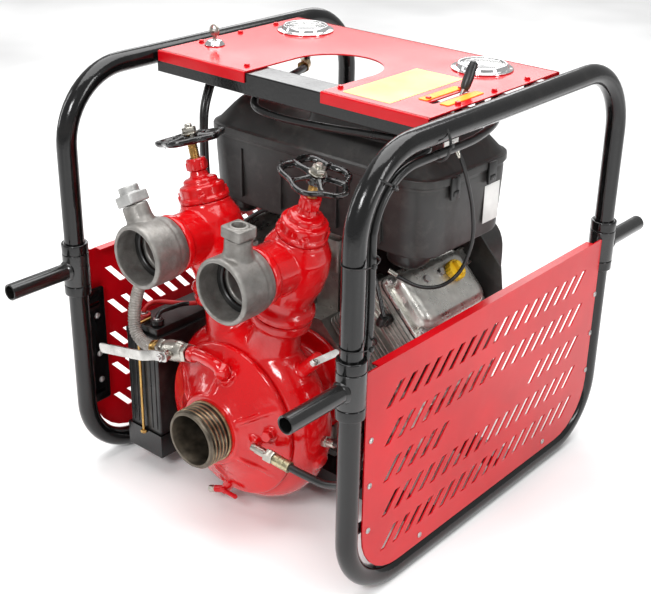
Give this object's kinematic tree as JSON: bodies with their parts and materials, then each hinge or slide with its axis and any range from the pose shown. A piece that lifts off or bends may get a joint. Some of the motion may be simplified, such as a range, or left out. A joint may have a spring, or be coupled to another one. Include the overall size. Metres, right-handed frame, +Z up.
{
  "type": "portable fire pump",
  "caption": "Engine-driven centrifugal fire pump with delivery valves, suction inlet and control panel, in a tubular carrying frame with folding handles.",
  "frame": {"origin": "on the floor, under the middle of the carrying frame", "axes": "+Z up; the suction inlet and delivery couplings face -Y; +X is on the right of a person facing along +Y"},
  "size_m": [0.645, 0.97, 0.773],
  "materials": {
    "frame_paint": "gloss black powder coat",
    "panel_red": "gloss red powder coat",
    "pump_red": "gloss red enamel over castings",
    "grip_rubber": "matt black",
    "black_plastic": "matt dark grey",
    "hose_rubber": "satin black",
    "wheel_black": "gloss black enamel",
    "coupling_grey": "dull grey cast",
    "engine_aluminium": "bare die casting",
    "brass_bare": "bare turned",
    "bronze_dark": "dark thread, bright crests",
    "bezel_chrome": "polished",
    "bare_steel": "plated",
    "braid": "braided grey hose",
    "cap_yellow": "moulded yellow",
    "needle_black": "black"
  },
  "bodies": {
    "frame": {"frame_loop_right": "frame_paint", "frame_loop_left": "frame_paint", "top_channel": "frame_paint", "engine_base": "frame_paint", "top_panel": "panel_red", "side_panel_right": "panel_red", "side_panel_left": "panel_red", "pressure_gauge_case": "bezel_chrome", "vacuum_gauge_case": "bezel_chrome", "key_switch": "bezel_chrome", "throttle_bracket": "bare_steel", "exhaust_muffler": "bare_steel", "shaft_seal": "hose_rubber", "pressure_hose": "hose_rubber", "vacuum_hose": "hose_rubber", "throttle_cable": "hose_rubber", "wiring_loom": "hose_rubber", "volute_casing": "pump_red", "front_cover": "pump_red", "delivery_valve_body_right": "pump_red", "delivery_valve_bonnet_right": "pump_red", "delivery_valve_body_left": "pump_red", "delivery_valve_bonnet_left": "pump_red", "priming_pipe": "pump_red", "suction_adaptor": "bronze_dark", "ball_valve_body": "brass_bare", "delivery_coupling_right": "coupling_grey", "delivery_coupling_left": "coupling_grey", "engine_crankcase": "engine_aluminium", "engine_cylinder_right": "engine_aluminium", "rocker_cover_right": "engine_aluminium", "engine_cylinder_left": "engine_aluminium", "rocker_cover_left": "engine_aluminium", "blower_housing": "black_plastic", "air_cleaner_lid": "black_plastic", "fan_shroud": "black_plastic", "battery": "black_plastic", "braided_hose": "braid"},
    "carry_handle_front_right": {"carry_handle_front_right": "grip_rubber"},
    "carry_handle_front_left": {"carry_handle_front_left": "grip_rubber"},
    "carry_handle_rear_right": {"carry_handle_rear_right": "grip_rubber"},
    "carry_handle_rear_left": {"carry_handle_rear_left": "grip_rubber"},
    "pressure_needle": {"pressure_gauge_needle": "needle_black"},
    "vacuum_needle": {"vacuum_gauge_needle": "needle_black"},
    "ignition_key": {"ignition_key": "bare_steel"},
    "throttle_lever": {"throttle_lever": "hose_rubber"},
    "rotor": {"impeller": "bronze_dark", "pump_shaft": "bare_steel"},
    "valve_disc_right": {"delivery_valve_disc_right": "brass_bare"},
    "valve_stem_right": {"delivery_valve_stem_right": "brass_bare", "handwheel_right": "wheel_black"},
    "valve_disc_left": {"delivery_valve_disc_left": "brass_bare"},
    "valve_stem_left": {"delivery_valve_stem_left": "brass_bare", "handwheel_left": "wheel_black"},
    "release_lug_right": {"release_lug_right": "coupling_grey"},
    "release_lug_left": {"release_lug_left": "coupling_grey"},
    "ball_valve_lever": {"ball_valve_lever": "bare_steel"},
    "drain_cock_lever": {"drain_cock_lever": "panel_red"},
    "vent_cock_lever": {"vent_cock_lever": "bare_steel"},
    "oil_filler_cap": {"oil_filler_cap": "cap_yellow"}
  },
  "joints": [
    {"name": "carry_handle_front_right_fold", "type": "hinge", "parent": "frame", "child": "carry_handle_front_right", "pos_m": [0.3, -0.35, 0.388], "axis": [0, 0, 1], "range_deg": [-90, 0]},
    {"name": "carry_handle_front_left_fold", "type": "hinge", "parent": "frame", "child": "carry_handle_front_left", "pos_m": [-0.3, -0.35, 0.388], "axis": [0, 0, 1], "range_deg": [0, 90]},
    {"name": "carry_handle_rear_right_fold", "type": "hinge", "parent": "frame", "child": "carry_handle_rear_right", "pos_m": [0.3, 0.35, 0.388], "axis": [0, 0, 1], "range_deg": [0, 90]},
    {"name": "carry_handle_rear_left_fold", "type": "hinge", "parent": "frame", "child": "carry_handle_rear_left", "pos_m": [-0.3, 0.35, 0.388], "axis": [0, 0, 1], "range_deg": [-90, 0]},
    {"name": "pressure_needle_turn", "type": "hinge", "parent": "frame", "child": "pressure_needle", "pos_m": [0.178, 0.11, 0.732], "axis": [0, 0, 1], "range_deg": [-270, 0]},
    {"name": "vacuum_needle_turn", "type": "hinge", "parent": "frame", "child": "vacuum_needle", "pos_m": [-0.198, 0.11, 0.732], "axis": [0, 0, 1], "range_deg": [-270, 0]},
    {"name": "ignition_key_turn", "type": "hinge", "parent": "frame", "child": "ignition_key", "pos_m": [-0.235, -0.078, 0.74], "axis": [0, 0, 1], "range_deg": [-90, 0]},
    {"name": "throttle_lever_swing", "type": "hinge", "parent": "frame", "child": "throttle_lever", "pos_m": [0.235, -0.06, 0.669], "axis": [1, 0, 0], "range_deg": [0, 60]},
    {"name": "rotor_spin", "type": "hinge", "parent": "frame", "child": "rotor", "pos_m": [0, -0.238, 0.188], "axis": [0, 1, 0], "continuous": true},
    {"name": "handwheel_right_turn", "type": "hinge", "parent": "valve_disc_right", "child": "valve_stem_right", "pos_m": [0.091, -0.235, 0.482], "axis": [0.2756, 0, 0.9613], "range_deg": [-360, 1080]},
    {"name": "valve_disc_right_lift", "type": "slide", "parent": "frame", "child": "valve_disc_right", "axis": [0.2756, 0, 0.9613], "range_m": [-0.005, 0.015]},
    {"name": "handwheel_left_turn", "type": "hinge", "parent": "valve_disc_left", "child": "valve_stem_left", "pos_m": [-0.091, -0.235, 0.482], "axis": [-0.2756, 0, 0.9613], "range_deg": [-720, 720]},
    {"name": "valve_disc_left_lift", "type": "slide", "parent": "frame", "child": "valve_disc_left", "axis": [-0.2756, 0, 0.9613], "range_m": [-0.01, 0.01]},
    {"name": "release_lug_right_pull", "type": "slide", "parent": "frame", "child": "release_lug_right", "axis": [0.0698, 0, 0.9976], "range_m": [0, 0.008], "stiffness_N_per_m": 1500, "springref_m": -0.002},
    {"name": "release_lug_left_pull", "type": "slide", "parent": "frame", "child": "release_lug_left", "axis": [-0.4695, 0, 0.8829], "range_m": [0, 0.008], "stiffness_N_per_m": 1500, "springref_m": -0.002},
    {"name": "ball_valve_lever_turn", "type": "hinge", "parent": "frame", "child": "ball_valve_lever", "pos_m": [-0.098, -0.344, 0.29], "axis": [0, 1, 0], "range_deg": [-90, 0]},
    {"name": "drain_cock_lever_turn", "type": "hinge", "parent": "frame", "child": "drain_cock_lever", "pos_m": [-0.01, -0.304, 0.05], "axis": [0, 1, 0], "range_deg": [0, 90]},
    {"name": "vent_cock_lever_turn", "type": "hinge", "parent": "frame", "child": "vent_cock_lever", "pos_m": [0.15, -0.254, 0.334], "axis": [0, 1, 0], "range_deg": [0, 90]},
    {"name": "oil_filler_cap_turn", "type": "hinge", "parent": "frame", "child": "oil_filler_cap", "pos_m": [0.2029, 0.031, 0.4093], "axis": [0.7071, 0, 0.7071], "range_deg": [0, 720]}
  ],
  "couplings": [
    {"joint": "valve_disc_right_lift", "follows": "handwheel_right_turn", "m_per_rad": 0.00079577},
    {"joint": "valve_disc_left_lift", "follows": "handwheel_left_turn", "m_per_rad": 0.00079577}
  ]
}
